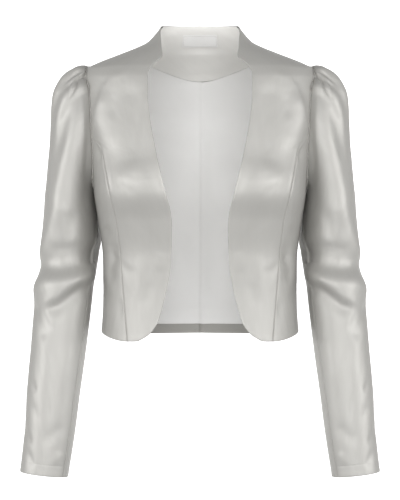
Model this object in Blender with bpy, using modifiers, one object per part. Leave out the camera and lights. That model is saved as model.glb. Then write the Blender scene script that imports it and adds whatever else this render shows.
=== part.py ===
# Bolero jacket: cropped, open at the front, with a grown-on stand collar, pleated sleeve
# heads and long two-piece sleeves, held out hollow in the shape in which it is worn.
#
# Tables and sizes are in millimetres and degrees, and mesh points are made in metres.
# X runs to the wearer's left, Y to the wearer's back and Z up. The origin lies between
# the shoulders, where the wearer's neck and shoulders carry the jacket.
#
# A turn on the body is 0 at the centre front, 90 at the wearer's left side and 180 at the
# centre back. A turn on a sleeve is 0 at its outer side, 90 at its front, 180 at the side
# that faces the body and 270 at its back.

import math
from bisect import bisect_right
from collections import namedtuple

import bmesh
import bpy
from mathutils import Vector

MM = 0.001

OUTER_WALL = 1.3
LINING_WALL = 1.0
LABEL_WALL = 0.8
SEAM_GAP = 0.45
LAYER_GAP = 0.65
LABEL_GAP = 0.8

COLLAR_TOP_BACK = 41.4

HEM_SIDE = -421.5
HEM_BACK = -427.8
HEM_RISE_OF_LINING = 14.6

NECK_POINT = 5.0
ARMHOLE_TOP = -25.4
ARMHOLE_BOTTOM = -207.0
ARMHOLE_FRONT_WIDTH = 50.0
ARMHOLE_BACK_WIDTH = 52.0
PRINCESS_START_TURN = 101.0
PRINCESS_ROW_EASE = 1.2
BACK_DIP_EASE = 1.3

SLEEVE_CAP_SHARE = 0.34
SLEEVE_SEAM_STEP = 0.35
SLEEVE_SEAM_INSET = 0.5
SLEEVE_SEAM_GAP = 0.8
SLEEVE_LEAVES_UPWARD = 0.12
SLEEVE_LEAVES_DOWNWARD = 2.8
SLEEVE_LEAVES_INWARD = 0.45
PLEAT_FADE_EASE = 0.45
PLEAT_SPREAD_AT_SEAM = 0.8
PLEAT_SPREAD_GAIN = 0.6

# Small steps over which a surface's slope is taken, and the share of a side that counts as
# its first corner.
BODY_SLOPE_STEP = 0.5
SLEEVE_SLOPE_SHARE = 0.01
SLEEVE_SLOPE_TURN = 1.0
ARM_SLOPE_DROP = 4.0
CORNER_SHARE = 0.01

FACING_DEPTH_AT_CENTRE = 81.0
LABEL_WIDTH = 56.0
LABEL_TOP = 28.8
LABEL_DROP = 17.3
BACK_WIDTH = 340.0
LINING_TOP_STEP = 0.03
LINING_PLEAT_HALF_WIDTH = 8.0
LINING_PLEAT_HEIGHT = 1.6

# How finely each piece is laid out. Rows run down from the collar or the armhole, and the
# named rows are where a piece's long side passes from one seam to the next.
FRONT_COLUMNS = 12
FRONT_NECK_ROW = 3
FRONT_SHOULDER_ROW = 6
FRONT_PRINCESS_ROW = 13
FRONT_ROWS = 24
SIDE_FRONT_COLUMNS = 8
BACK_COLUMNS = 24
BACK_FACING_ROW = 5
BACK_SHOULDER_ROW = 7
BACK_UNDERARM_ROW = 16
BACK_LINING_HEM_ROW = 23
BACK_ROWS = 24
SLEEVE_HEAD_COLUMNS = 20
SLEEVE_SIDE_COLUMNS = 5
SLEEVE_UNDER_COLUMNS = 7
SLEEVE_CAP_ROWS = 8
SLEEVE_ARM_ROWS = 15
LABEL_COLUMNS = 6

# The body's level sections: half the width, and how far the front and the back reach from
# the line through both shoulders. A squareness of 2 is an ellipse, and more is fuller.
Section = namedtuple("Section", "height half_width front_depth back_depth squareness")
BODY_SECTIONS = [
    Section(44.0, 54.0, 41.0, 53.0, 2.0),
    Section(34.5, 58.8, 46.0, 56.0, 2.0),
    Section(18.0, 71.8, 56.0, 61.0, 2.0),
    Section(10.0, 80.5, 60.0, 65.0, 2.0),
    Section(3.5, 93.8, 63.0, 68.0, 2.0),
    Section(-7.5, 121.4, 70.0, 74.0, 2.05),
    Section(-21.5, 156.6, 80.0, 82.0, 2.1),
    Section(-30.0, 172.0, 86.0, 87.0, 2.1),
    Section(-45.0, 176.0, 94.0, 93.0, 2.15),
    Section(-105.0, 173.0, 111.0, 108.0, 2.3),
    Section(-150.0, 166.5, 124.0, 110.0, 2.35),
    Section(-190.0, 161.0, 131.0, 107.0, 2.4),
    Section(-214.5, 158.9, 131.0, 105.0, 2.4),
    Section(-258.0, 152.4, 123.0, 99.0, 2.35),
    Section(-315.0, 145.4, 112.0, 92.0, 2.3),
    Section(-375.0, 145.2, 108.0, 90.0, 2.3),
    Section(-440.0, 149.0, 110.0, 94.0, 2.25),
]

# The collar's top edge, which rises from the front corners to the back of the neck.
TurnRow = namedtuple("TurnRow", "turn height")
COLLAR_TOP = [
    TurnRow(75.0, 31.0),
    TurnRow(84.0, 34.0),
    TurnRow(96.0, 36.8),
    TurnRow(112.0, 38.3),
    TurnRow(130.0, 39.7),
    TurnRow(180.0, COLLAR_TOP_BACK),
]

# The back's hem, from the side seam to the centre back.
BACK_HEM = [
    TurnRow(90.0, HEM_SIDE),
    TurnRow(110.0, -425.6),
    TurnRow(137.0, -428.4),
    TurnRow(180.0, HEM_BACK),
]

# The front edge, from the collar's top corner to the start of the round corner at the hem.
EdgeRow = namedtuple("EdgeRow", "row half_width height")
FRONT_EDGE = [
    EdgeRow(0, 57.6, 31.0),
    EdgeRow(1, 59.4, 24.0),
    EdgeRow(2, 57.9, 10.5),
    EdgeRow(3, 56.6, -2.8),
    EdgeRow(4, 55.2, -14.2),
    EdgeRow(5, 69.3, -28.4),
    EdgeRow(6, 76.3, -42.0),
    EdgeRow(8, 76.1, -72.0),
    EdgeRow(10, 73.0, -103.0),
    EdgeRow(13, 63.8, -155.0),
    EdgeRow(16, 50.2, -209.0),
    EdgeRow(19, 40.5, -265.0),
    EdgeRow(21, 42.7, -325.0),
    EdgeRow(22, 47.3, -352.0),
    EdgeRow(23, 54.0, -381.0),
    EdgeRow(24, 61.2, -406.0),
]

# The front's hem, from the round corner back to the princess seam.
HemRow = namedtuple("HemRow", "share half_width height")
FRONT_HEM = [
    HemRow(0.00, 61.2, -406.0),
    HemRow(0.25, 70.5, -419.3),
    HemRow(0.50, 81.5, -428.3),
    HemRow(0.75, 93.5, -433.5),
    HemRow(1.00, 106.6, -434.0),
]

# The princess seam, from the armhole down to the hem.
SeamRow = namedtuple("SeamRow", "height half_width")
PRINCESS_SEAM = [
    SeamRow(-144.3, 149.2),
    SeamRow(-157.6, 143.0),
    SeamRow(-179.0, 136.8),
    SeamRow(-200.0, 130.6),
    SeamRow(-251.5, 122.4),
    SeamRow(-305.8, 117.6),
    SeamRow(-368.2, 112.5),
    SeamRow(-434.0, 106.6),
]

# The sleeve's centre line and sections from just under the armhole to the cuff. The tilt
# is how far a section's outer side is lifted, so that the hem lies square to the arm. The
# swing and the push carry its inner side back and in, close along the jacket's side.
ArmRow = namedtuple(
    "ArmRow", "height centre_out centre_back half_width half_depth tilt swing push"
)
ARM_SECTIONS = [
    ArmRow(-225.0, 197.4, 4.0, 36.0, 58.0, 0.0, 6.0, 3.8),
    ArmRow(-240.0, 196.5, 3.5, 37.9, 57.0, 0.0, 14.0, 3.6),
    ArmRow(-270.0, 195.4, 2.0, 41.6, 55.5, 1.0, 26.0, 3.4),
    ArmRow(-287.0, 195.3, 0.9, 43.2, 54.7, 1.6, 24.0, 2.8),
    ArmRow(-301.0, 195.8, 0.0, 43.6, 54.0, 2.0, 20.0, 0.4),
    ArmRow(-325.0, 197.9, -2.5, 42.7, 52.0, 4.0, 12.0, 0.0),
    ArmRow(-350.0, 202.4, -5.0, 43.3, 50.0, 6.0, 6.0, 0.0),
    ArmRow(-375.0, 204.6, -8.0, 42.9, 48.0, 6.5, 0.0, 0.0),
    ArmRow(-445.0, 211.0, -17.0, 41.2, 43.5, 6.5, 0.0, 0.0),
    ArmRow(-516.0, 218.6, -25.0, 39.4, 40.0, 6.5, 0.0, 0.0),
    ArmRow(-560.0, 222.2, -29.0, 37.6, 38.0, 6.5, 0.0, 0.0),
    ArmRow(-632.0, 231.2, -35.0, 35.8, 35.0, 6.5, 0.0, 0.0),
]
ARM_SQUARENESS = 2.15

# How the sleeve head swells out of the armhole at each turn: how far its cloth runs
# straight out from the seam, and how far above the arm's first section it turns down.
HeadRow = namedtuple("HeadRow", "turn run_out turn_down")
SLEEVE_HEAD = [
    HeadRow(0, 43.2, 148.0),
    HeadRow(45, 40.0, 118.0),
    HeadRow(90, 27.0, 62.0),
    HeadRow(135, 12.0, 24.0),
    HeadRow(180, 4.0, 6.0),
    HeadRow(225, 12.0, 24.0),
    HeadRow(270, 27.0, 62.0),
    HeadRow(315, 40.0, 118.0),
    HeadRow(360, 43.2, 148.0),
]

# The two lengthwise seams of a sleeve, as turns at shares of its length.
SleeveSeamRow = namedtuple("SleeveSeamRow", "share front_turn back_turn")
SLEEVE_SEAMS = [
    SleeveSeamRow(0.00, 146.0, 216.0),
    SleeveSeamRow(0.34, 156.0, 222.0),
    SleeveSeamRow(0.55, 147.0, 226.0),
    SleeveSeamRow(1.00, 143.0, 224.0),
]

# Pleats in the sleeve head: where each leaves the seam, how it leans as it runs down,
# half its width there, how high it stands and the share of the head that it reaches.
Pleat = namedtuple("Pleat", "turn lean half_width rise reach")
HEAD_PLEATS = [
    Pleat(0.0, 1.0, 6.5, 2.0, 0.60),
    Pleat(25.0, 4.0, 6.5, 5.2, 0.85),
    Pleat(50.0, 6.0, 7.0, 4.6, 0.70),
    Pleat(-25.0, -4.0, 6.5, 5.0, 0.80),
    Pleat(-50.0, -6.0, 7.0, 4.4, 0.66),
]
PLEATED_HALF_TURN = 62.5

# Large folds: a soft ridge, or a trough where the rise is below zero, along a line from
# one place to another, each given by its turn and its height.
Fold = namedtuple("Fold", "turn_a height_a turn_b height_b rise half_width")
SLEEVE_FOLDS = [
    Fold(150.0, -302.0, 14.0, -329.0, -4.4, 16.0),
    Fold(140.0, -337.0, 20.0, -362.0, 3.4, 14.0),
    Fold(148.0, -358.0, 62.0, -384.0, -3.6, 10.0),
    Fold(75.0, -240.0, 15.0, -318.0, 2.4, 13.0),
    Fold(25.0, -392.0, 60.0, -424.0, -2.2, 10.0),
    Fold(128.0, -556.0, 70.0, -586.0, -2.8, 10.0),
    Fold(220.0, -338.0, 330.0, -326.0, -3.6, 14.0),
    Fold(214.0, -360.0, 300.0, -380.0, -3.0, 11.0),
    Fold(230.0, -560.0, 300.0, -582.0, -2.4, 11.0),
]
SLEEVE_MM_PER_DEGREE = 0.75

BODY_FOLDS = [
    Fold(34.0, -208.0, 54.0, -212.0, 6.2, 36.0),
    Fold(50.0, -75.0, 44.0, -165.0, -3.2, 18.0),
    Fold(67.0, -90.0, 62.0, -135.0, 2.6, 16.0),
    Fold(62.0, -300.0, 66.0, -335.0, -2.2, 11.0),
    Fold(150.0, -310.0, 118.0, -345.0, -2.2, 15.0),
    Fold(164.0, -150.0, 128.0, -120.0, 2.4, 22.0),
]
BODY_MM_PER_DEGREE = 2.3

SATIN = ("satin", (0.510, 0.500, 0.465, 1.0), 0.34)
LINING_CLOTH = ("lining cloth", (0.700, 0.695, 0.675, 1.0), 0.45)
LABEL_CLOTH = ("label cloth", (0.800, 0.800, 0.780, 1.0), 0.60)


class Curve:
    # A smooth curve through a table's rows that never overshoots them.
    def __init__(self, rows, key, value):
        pairs = sorted((getattr(row, key), getattr(row, value)) for row in rows)
        self.keys = [pair[0] for pair in pairs]
        self.values = [pair[1] for pair in pairs]
        steps = [b - a for a, b in zip(self.keys, self.keys[1:])]
        rises = [b - a for a, b in zip(self.values, self.values[1:])]
        slopes = [rise / step for rise, step in zip(rises, steps)]
        self.slopes = [slopes[0]]
        for before, after in zip(slopes, slopes[1:]):
            mean = 0.0
            if before * after > 0.0:
                mean = 2.0 * before * after / (before + after)
            self.slopes.append(mean)
        self.slopes.append(slopes[-1])

    def __call__(self, key):
        key = min(max(key, self.keys[0]), self.keys[-1])
        i = min(bisect_right(self.keys, key), len(self.keys) - 1) - 1
        step = self.keys[i + 1] - self.keys[i]
        t = (key - self.keys[i]) / step
        near = (1 + 2 * t) * (1 - t) ** 2 * self.values[i]
        near += t * (1 - t) ** 2 * step * self.slopes[i]
        far = t * t * (3 - 2 * t) * self.values[i + 1]
        far += t * t * (t - 1) * step * self.slopes[i + 1]
        return near + far


def mix(a, b, share):
    return a + (b - a) * share


def fold_rise(folds, turn, height, mm_per_degree):
    total = 0.0
    for fold in folds:
        start = Vector((fold.turn_a * mm_per_degree, fold.height_a))
        along = Vector((fold.turn_b * mm_per_degree, fold.height_b)) - start
        place = Vector((turn * mm_per_degree, height)) - start
        share = min(max(place.dot(along) / along.length_squared, 0.0), 1.0)
        distance = (place - along * share).length
        total += fold.rise * math.exp(-((distance / fold.half_width) ** 2))
    return total


body_half_width = Curve(BODY_SECTIONS, "height", "half_width")
body_front_depth = Curve(BODY_SECTIONS, "height", "front_depth")
body_back_depth = Curve(BODY_SECTIONS, "height", "back_depth")
body_squareness = Curve(BODY_SECTIONS, "height", "squareness")
collar_top = Curve(COLLAR_TOP, "turn", "height")
back_hem = Curve(BACK_HEM, "turn", "height")


def body_skin(turn, height):
    # A point on the body's outer surface, on the wearer's left half.
    width = body_half_width(height)
    depth = body_front_depth(height) if turn < 90.0 else body_back_depth(height)
    power = body_squareness(height)
    across = math.sin(math.radians(turn))
    forward = math.cos(math.radians(turn))
    reach = ((abs(across) / width) ** power + (abs(forward) / depth) ** power) ** (-1 / power)
    reach += fold_rise(BODY_FOLDS, turn, height, BODY_MM_PER_DEGREE)
    return Vector((reach * across, -reach * forward, height))


def body_point(turn, height, inset=0.0):
    point = body_skin(turn, height)
    if inset:
        step = BODY_SLOPE_STEP
        along_turn = body_skin(turn + step, height) - body_skin(turn - step, height)
        along_height = body_skin(turn, height + step) - body_skin(turn, height - step)
        point = point - along_turn.cross(along_height).normalized() * inset
    return point


def turn_at(half_width, height):
    # The turn at which the front reaches this far from the centre line.
    width = body_half_width(height)
    power = body_squareness(height)
    share = min(half_width / width, 1.0)
    forward = body_front_depth(height) * (1.0 - share**power) ** (1 / power)
    return math.degrees(math.atan2(half_width, forward))


def armhole_place(turn, inset=0.0):
    # A place on the armhole's seam, as a turn and a height on the body. The armhole is an
    # oval drawn on the jacket's side: 0 at the shoulder, 90 in front and 180 underarm.
    half_height = (ARMHOLE_TOP - ARMHOLE_BOTTOM) / 2 - inset
    height = (ARMHOLE_TOP + ARMHOLE_BOTTOM) / 2 + half_height * math.cos(math.radians(turn))
    forward = math.sin(math.radians(turn))
    width = body_half_width(height)
    power = body_squareness(height)
    if forward >= 0.0:
        reach = forward * (ARMHOLE_FRONT_WIDTH - inset)
        depth = body_front_depth(height)
    else:
        reach = forward * (ARMHOLE_BACK_WIDTH - inset)
        depth = body_back_depth(height)
    out = width * (1.0 - (abs(reach) / depth) ** power) ** (1 / power)
    return math.degrees(math.atan2(out, reach)), height


def armhole_point(turn, inset):
    return body_point(*armhole_place(turn, inset))


def hem_height(turn):
    if turn < 90.0:
        share = (90.0 - turn) / (90.0 - turn_at(FRONT_HEM[-1].half_width, FRONT_HEM[-1].height))
        return mix(HEM_SIDE, FRONT_HEM[-1].height, share * share * (3 - 2 * share))
    return back_hem(turn)


def patch(left, right, top, bottom):
    # A smooth patch between four sides, each a function of a share from 0 to 1 that
    # gives a turn and a height: left and right run down, top and bottom run across.
    def place(across, down):
        result = []
        for i in range(2):
            sides = mix(left(down)[i], right(down)[i], across)
            ends = mix(top(across)[i], bottom(across)[i], down)
            upper = mix(top(0)[i], top(1)[i], across)
            lower = mix(bottom(0)[i], bottom(1)[i], across)
            result.append(sides + ends - mix(upper, lower, down))
        return result

    return place


front_edge_width = Curve(FRONT_EDGE, "row", "half_width")
front_edge_height = Curve(FRONT_EDGE, "row", "height")
front_hem_width = Curve(FRONT_HEM, "share", "half_width")
front_hem_height = Curve(FRONT_HEM, "share", "height")
princess_width = Curve(PRINCESS_SEAM, "height", "half_width")


def princess_place(share):
    # A place on the princess seam, at a share of the way from the armhole to the hem.
    turn, top = armhole_place(PRINCESS_START_TURN)
    height = mix(top, PRINCESS_SEAM[-1].height, share**PRINCESS_ROW_EASE)
    if height > PRINCESS_SEAM[0].height:
        joined = (height - PRINCESS_SEAM[0].height) / (top - PRINCESS_SEAM[0].height)
        start = turn_at(PRINCESS_SEAM[0].half_width, PRINCESS_SEAM[0].height)
        return mix(start, turn, joined), height
    return turn_at(princess_width(height), height), height


def front_edge_place(down):
    height = front_edge_height(down * FRONT_ROWS)
    return turn_at(front_edge_width(down * FRONT_ROWS), height), height


def front_hem_place(share):
    height = front_hem_height(share)
    return turn_at(front_hem_width(share), height), height


def seam_shift(turn, height):
    # How many degrees of turn half a seam's gap is, at this place on the body.
    width = (body_point(turn, height) - body_point(turn - 1.0, height)).length
    return SEAM_GAP / 2 / width


def share_between(row, first, last):
    return (row - first) / (last - first)


def front_outer_place(down):
    # The front's outer side: collar and shoulder seam, then armhole, then princess seam.
    row = down * FRONT_ROWS
    if row < FRONT_SHOULDER_ROW:
        if row < FRONT_NECK_ROW:
            height = mix(collar_top(90.0), NECK_POINT, row / FRONT_NECK_ROW)
        else:
            share = share_between(row, FRONT_NECK_ROW, FRONT_SHOULDER_ROW)
            height = mix(NECK_POINT, ARMHOLE_TOP, share)
        return 90.0 - seam_shift(90.0, height), height
    if row < FRONT_PRINCESS_ROW:
        share = share_between(row, FRONT_SHOULDER_ROW, FRONT_PRINCESS_ROW)
        turn, height = armhole_place(PRINCESS_START_TURN * share)
        return min(turn, 90.0 - seam_shift(90.0, height)), height
    turn, height = princess_place(share_between(row, FRONT_PRINCESS_ROW, FRONT_ROWS))
    return turn - seam_shift(turn, height), height


def front_collar_place(share):
    turn = mix(front_edge_place(0.0)[0], front_outer_place(0.0)[0], share)
    return turn, collar_top(turn)


front_place = patch(
    left=front_edge_place,
    right=front_outer_place,
    top=front_collar_place,
    bottom=front_hem_place,
)


def side_front_inner_place(share):
    turn, height = princess_place(share)
    return turn + seam_shift(turn, height), height


def side_seam_place(share, side):
    height = mix(ARMHOLE_BOTTOM, HEM_SIDE, share)
    return 90.0 + side * seam_shift(90.0, height), height


def side_front_top_place(share):
    turn, height = armhole_place(mix(PRINCESS_START_TURN, 180.0, share))
    if share < CORNER_SHARE:
        turn += seam_shift(turn, height)
    return min(turn, 90.0 - seam_shift(90.0, height)), height


def side_front_hem_place(share):
    start = side_front_inner_place(1.0)[0]
    turn = mix(start, side_seam_place(1.0, -1)[0], share)
    return turn, hem_height(turn)


side_front_place = patch(
    left=side_front_inner_place,
    right=lambda share: side_seam_place(share, -1),
    top=side_front_top_place,
    bottom=side_front_hem_place,
)


def back_lower_height(row, from_row, from_height, hem):
    # Rows run evenly down to the lining's hem, and the last row is the turned-up hem.
    lining_hem = hem + HEM_RISE_OF_LINING
    if row > BACK_LINING_HEM_ROW:
        return mix(lining_hem, hem, share_between(row, BACK_LINING_HEM_ROW, BACK_ROWS))
    return mix(from_height, lining_hem, share_between(row, from_row, BACK_LINING_HEM_ROW))


def back_outer_place(row):
    # The back's long side: collar and shoulder seam, armhole, then side seam.
    if row < BACK_SHOULDER_ROW:
        height = mix(collar_top(90.0), ARMHOLE_TOP, row / BACK_SHOULDER_ROW)
        return 90.0 + seam_shift(90.0, height), height
    if row < BACK_UNDERARM_ROW:
        share = share_between(row, BACK_SHOULDER_ROW, BACK_UNDERARM_ROW)
        turn, height = armhole_place(-180.0 * share)
        return max(turn, 90.0 + seam_shift(90.0, height)), height
    height = back_lower_height(row, BACK_UNDERARM_ROW, ARMHOLE_BOTTOM, HEM_SIDE)
    return 90.0 + seam_shift(90.0, height), height


def back_centre_height(row):
    facing_edge = COLLAR_TOP_BACK - FACING_DEPTH_AT_CENTRE
    if row < BACK_FACING_ROW:
        return mix(COLLAR_TOP_BACK, facing_edge, row / BACK_FACING_ROW)
    return back_lower_height(row, BACK_FACING_ROW, facing_edge, HEM_BACK)


def back_place(across, row):
    # From the side at 0 to the centre back at 1. Rows leave the side level and dip to the
    # centre, as the facing's lower edge does, but the first one follows the collar's top
    # and the last one the hem.
    turn, height = back_outer_place(row)
    dip = math.sin(across**BACK_DIP_EASE * math.pi / 2) ** 2
    turn = mix(turn, 180.0, across)
    level = mix(height, back_centre_height(row), dip)
    if row < BACK_FACING_ROW:
        top = collar_top(turn) - mix(collar_top(90.0), COLLAR_TOP_BACK, dip)
        level += top * (1.0 - row / BACK_FACING_ROW)
    if row > BACK_UNDERARM_ROW:
        hem = hem_height(turn) - mix(HEM_SIDE, HEM_BACK, dip)
        level += hem * share_between(row, BACK_UNDERARM_ROW, BACK_ROWS)
    return turn, level


def full_back_point(across, row, inset):
    # The whole back: 0 at the wearer's left, 0.5 at the centre, 1 at the wearer's right.
    turn, height = back_place(1.0 - abs(2.0 * across - 1.0), row)
    point = body_point(turn, height, inset)
    if across > 0.5:
        point.x = -point.x
    return point


arm_centre_out = Curve(ARM_SECTIONS, "height", "centre_out")
arm_centre_back = Curve(ARM_SECTIONS, "height", "centre_back")
arm_half_width = Curve(ARM_SECTIONS, "height", "half_width")
arm_half_depth = Curve(ARM_SECTIONS, "height", "half_depth")
arm_tilt = Curve(ARM_SECTIONS, "height", "tilt")
arm_swing = Curve(ARM_SECTIONS, "height", "swing")
arm_push = Curve(ARM_SECTIONS, "height", "push")
head_run_out = Curve(SLEEVE_HEAD, "turn", "run_out")
head_turn_down = Curve(SLEEVE_HEAD, "turn", "turn_down")
sleeve_front_seam = Curve(SLEEVE_SEAMS, "share", "front_turn")
sleeve_back_seam = Curve(SLEEVE_SEAMS, "share", "back_turn")


def arm_skin(turn, height):
    # A point on the sleeve below the armhole, with its large folds.
    out = math.cos(math.radians(turn))
    forward = math.sin(math.radians(turn))
    width = arm_half_width(height)
    depth = arm_half_depth(height)
    reach = (abs(out) / width) ** ARM_SQUARENESS + (abs(forward) / depth) ** ARM_SQUARENESS
    reach = reach ** (-1 / ARM_SQUARENESS)
    reach += fold_rise(SLEEVE_FOLDS, turn, height, SLEEVE_MM_PER_DEGREE)
    tilt = math.radians(arm_tilt(height))
    inner = min(out, 0.0) ** 2
    return Vector(
        (
            arm_centre_out(height) + reach * out * math.cos(tilt) - arm_push(height) * inner,
            arm_centre_back(height) - reach * forward + arm_swing(height) * inner,
            height + reach * out * math.sin(tilt),
        )
    )


def sleeve_base(turn, share):
    # A point on the sleeve's smooth form, at a share of the way from armhole to cuff.
    top = ARM_SECTIONS[0].height
    if share > SLEEVE_CAP_SHARE:
        down = (share - SLEEVE_CAP_SHARE) / (1.0 - SLEEVE_CAP_SHARE)
        return arm_skin(turn, mix(top, ARM_SECTIONS[-1].height, down))
    t = share / SLEEVE_CAP_SHARE
    turn = turn % 360.0
    up = math.cos(math.radians(turn))
    forward = math.sin(math.radians(turn))
    start = armhole_point(turn, SLEEVE_SEAM_INSET) + Vector((SLEEVE_SEAM_STEP, 0, 0))
    rise = SLEEVE_LEAVES_UPWARD * up if up > 0.0 else SLEEVE_LEAVES_DOWNWARD * up**3
    leaving = Vector((1.0, -SLEEVE_LEAVES_INWARD * forward, rise)).normalized()
    end = arm_skin(turn, top)
    upward = (end - arm_skin(turn, top - ARM_SLOPE_DROP)).normalized()
    first = start + leaving * head_run_out(turn)
    last = end + upward * head_turn_down(turn)
    near = start * (1 - t) ** 3 + first * 3 * t * (1 - t) ** 2
    return near + last * 3 * t * t * (1 - t) + end * t**3


def pleat_rise(turn, share):
    t = share / SLEEVE_CAP_SHARE
    signed = (turn + 180.0) % 360.0 - 180.0
    total = 0.0
    for pleat in HEAD_PLEATS:
        if t < pleat.reach:
            centre = pleat.turn + pleat.lean * t
            spread = pleat.half_width * (PLEAT_SPREAD_AT_SEAM + PLEAT_SPREAD_GAIN * t)
            fade = math.sin(math.pi * (t / pleat.reach) ** PLEAT_FADE_EASE)
            total += pleat.rise * fade * math.exp(-(((signed - centre) / spread) ** 2))
    return total


def sleeve_point(turn, share):
    point = sleeve_base(turn, share)
    rise = pleat_rise(turn, share)
    if rise:
        step = SLEEVE_SLOPE_SHARE
        side = SLEEVE_SLOPE_TURN
        along_turn = sleeve_base(turn - side, share) - sleeve_base(turn + side, share)
        down = sleeve_base(turn, share + step) - sleeve_base(turn, max(share - step, 0.0))
        point = point + down.cross(along_turn).normalized() * rise
    return point


def sleeve_share(down):
    # Rows are spaced evenly in the head and evenly again down the arm.
    row = down * (SLEEVE_CAP_ROWS + SLEEVE_ARM_ROWS)
    if row < SLEEVE_CAP_ROWS:
        return SLEEVE_CAP_SHARE * row / SLEEVE_CAP_ROWS
    return mix(SLEEVE_CAP_SHARE, 1.0, (row - SLEEVE_CAP_ROWS) / SLEEVE_ARM_ROWS)


def sleeve_half_gap(share):
    # Half a lengthwise seam's gap, in degrees. It opens a little underarm, where the
    # walls of the two pieces lean together.
    underarm = max(1.0 - share / SLEEVE_CAP_SHARE, 0.0)
    return SLEEVE_SEAM_GAP / 2 / SLEEVE_MM_PER_DEGREE * (1.0 + underarm)


def sleeve_upper_turn(across, share):
    # Columns stand closer together over the pleats than down the front and the back.
    front = sleeve_front_seam(share) - sleeve_half_gap(share)
    back = sleeve_back_seam(share) + sleeve_half_gap(share) - 360.0
    column = across * (SLEEVE_HEAD_COLUMNS + 2 * SLEEVE_SIDE_COLUMNS)
    if column < SLEEVE_SIDE_COLUMNS:
        return mix(front, PLEATED_HALF_TURN, column / SLEEVE_SIDE_COLUMNS)
    column -= SLEEVE_SIDE_COLUMNS
    if column < SLEEVE_HEAD_COLUMNS:
        return PLEATED_HALF_TURN * (1.0 - 2.0 * column / SLEEVE_HEAD_COLUMNS)
    column -= SLEEVE_HEAD_COLUMNS
    return mix(-PLEATED_HALF_TURN, back, column / SLEEVE_SIDE_COLUMNS)


def sleeve_under_turn(across, share):
    front = sleeve_front_seam(share) + sleeve_half_gap(share)
    back = sleeve_back_seam(share) - sleeve_half_gap(share)
    return mix(back, front, across)


jacket = bpy.data.collections.new("bolero jacket")


def cloth_material(finish):
    name, colour, roughness = finish
    material = bpy.data.materials.new(name)
    material.use_nodes = True
    shader = material.node_tree.nodes["Principled BSDF"]
    shader.inputs["Base Color"].default_value = colour
    shader.inputs["Roughness"].default_value = roughness
    shader.inputs["Metallic"].default_value = 0.0
    return material


def cloth_panel(name, columns, rows, point, wall, finish, mirrored=False):
    # One cut piece: a grid laid on its surface, given the cloth's thickness inward.
    # point(across, down) gives the outer surface in millimetres.
    cells = bmesh.new()
    bmesh.ops.create_grid(cells, x_segments=columns, y_segments=rows, size=0.5)
    for vertex in cells.verts:
        place = point(vertex.co.x + 0.5, 0.5 - vertex.co.y) * MM
        if mirrored:
            place.x = -place.x
        vertex.co = place
    if mirrored:
        bmesh.ops.reverse_faces(cells, faces=cells.faces)
    mesh = bpy.data.meshes.new(name)
    cells.to_mesh(mesh)
    cells.free()
    mesh.shade_smooth()
    panel = bpy.data.objects.new(name, mesh)
    jacket.objects.link(panel)
    solidify = panel.modifiers.new("cloth thickness", "SOLIDIFY")
    solidify.thickness = wall * MM
    solidify.offset = -1.0
    solidify.use_even_offset = True
    solidify.use_quality_normals = True
    mesh.materials.append(cloth_material(finish))
    return panel


def build_fronts(side, mirrored):
    cloth_panel(
        f"front_{side}",
        FRONT_COLUMNS,
        FRONT_ROWS,
        lambda across, down: body_point(*front_place(across, down)),
        OUTER_WALL,
        SATIN,
        mirrored,
    )
    cloth_panel(
        f"side_front_{side}",
        SIDE_FRONT_COLUMNS,
        FRONT_ROWS - FRONT_PRINCESS_ROW,
        lambda across, down: body_point(*side_front_place(across, down)),
        OUTER_WALL,
        SATIN,
        mirrored,
    )


def build_sleeve(side, mirrored):
    def upper(across, down):
        share = sleeve_share(down)
        return sleeve_point(sleeve_upper_turn(across, share), share)

    def under(across, down):
        share = sleeve_share(down)
        return sleeve_point(sleeve_under_turn(across, share), share)

    rows = SLEEVE_CAP_ROWS + SLEEVE_ARM_ROWS
    columns = SLEEVE_HEAD_COLUMNS + 2 * SLEEVE_SIDE_COLUMNS
    cloth_panel(f"sleeve_upper_{side}", columns, rows, upper, OUTER_WALL, SATIN, mirrored)
    cloth_panel(
        f"sleeve_under_{side}", SLEEVE_UNDER_COLUMNS, rows, under, OUTER_WALL, SATIN, mirrored
    )


def build_back(side, first_share, outward):
    # One half of the back, from the side seam to the centre back seam.
    def point(across, down):
        share = first_share + across / 2
        place = full_back_point(share, down * BACK_ROWS, 0.0)
        if share == 0.5:
            place.x = outward * SEAM_GAP / 2
        return place

    cloth_panel(f"back_{side}", BACK_COLUMNS // 2, BACK_ROWS, point, OUTER_WALL, SATIN)


def build_neck_facing():
    inset = OUTER_WALL + LAYER_GAP
    cloth_panel(
        "back_neck_facing",
        BACK_COLUMNS,
        BACK_FACING_ROW,
        lambda across, down: full_back_point(across, down * BACK_FACING_ROW, inset),
        LINING_WALL,
        SATIN,
    )


def build_lining():
    # The lining hangs from the facing's edge, with a pleat standing at the centre back.
    inset = OUTER_WALL + LAYER_GAP

    def point(across, down):
        from_centre = (across - 0.5) * BACK_WIDTH
        pleat = math.exp(-((from_centre / LINING_PLEAT_HALF_WIDTH) ** 2))
        row = mix(BACK_FACING_ROW + LINING_TOP_STEP, BACK_LINING_HEM_ROW, down)
        return full_back_point(across, row, inset + LINING_PLEAT_HEIGHT * pleat)

    rows = BACK_LINING_HEM_ROW - BACK_FACING_ROW
    cloth_panel("back_lining", BACK_COLUMNS, rows, point, LINING_WALL, LINING_CLOTH)


def build_label():
    # The label lies on the facing, centred at the back of the neck.
    inset = OUTER_WALL + LAYER_GAP + LINING_WALL + LABEL_GAP

    def point(across, down):
        height = LABEL_TOP - LABEL_DROP * down
        half_angle = math.degrees(LABEL_WIDTH / 2 / body_back_depth(height))
        turn = 180.0 + half_angle * (across * 2.0 - 1.0)
        return body_point(turn, height, inset)

    cloth_panel("label", LABEL_COLUMNS, 1, point, LABEL_WALL, LABEL_CLOTH)


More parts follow.
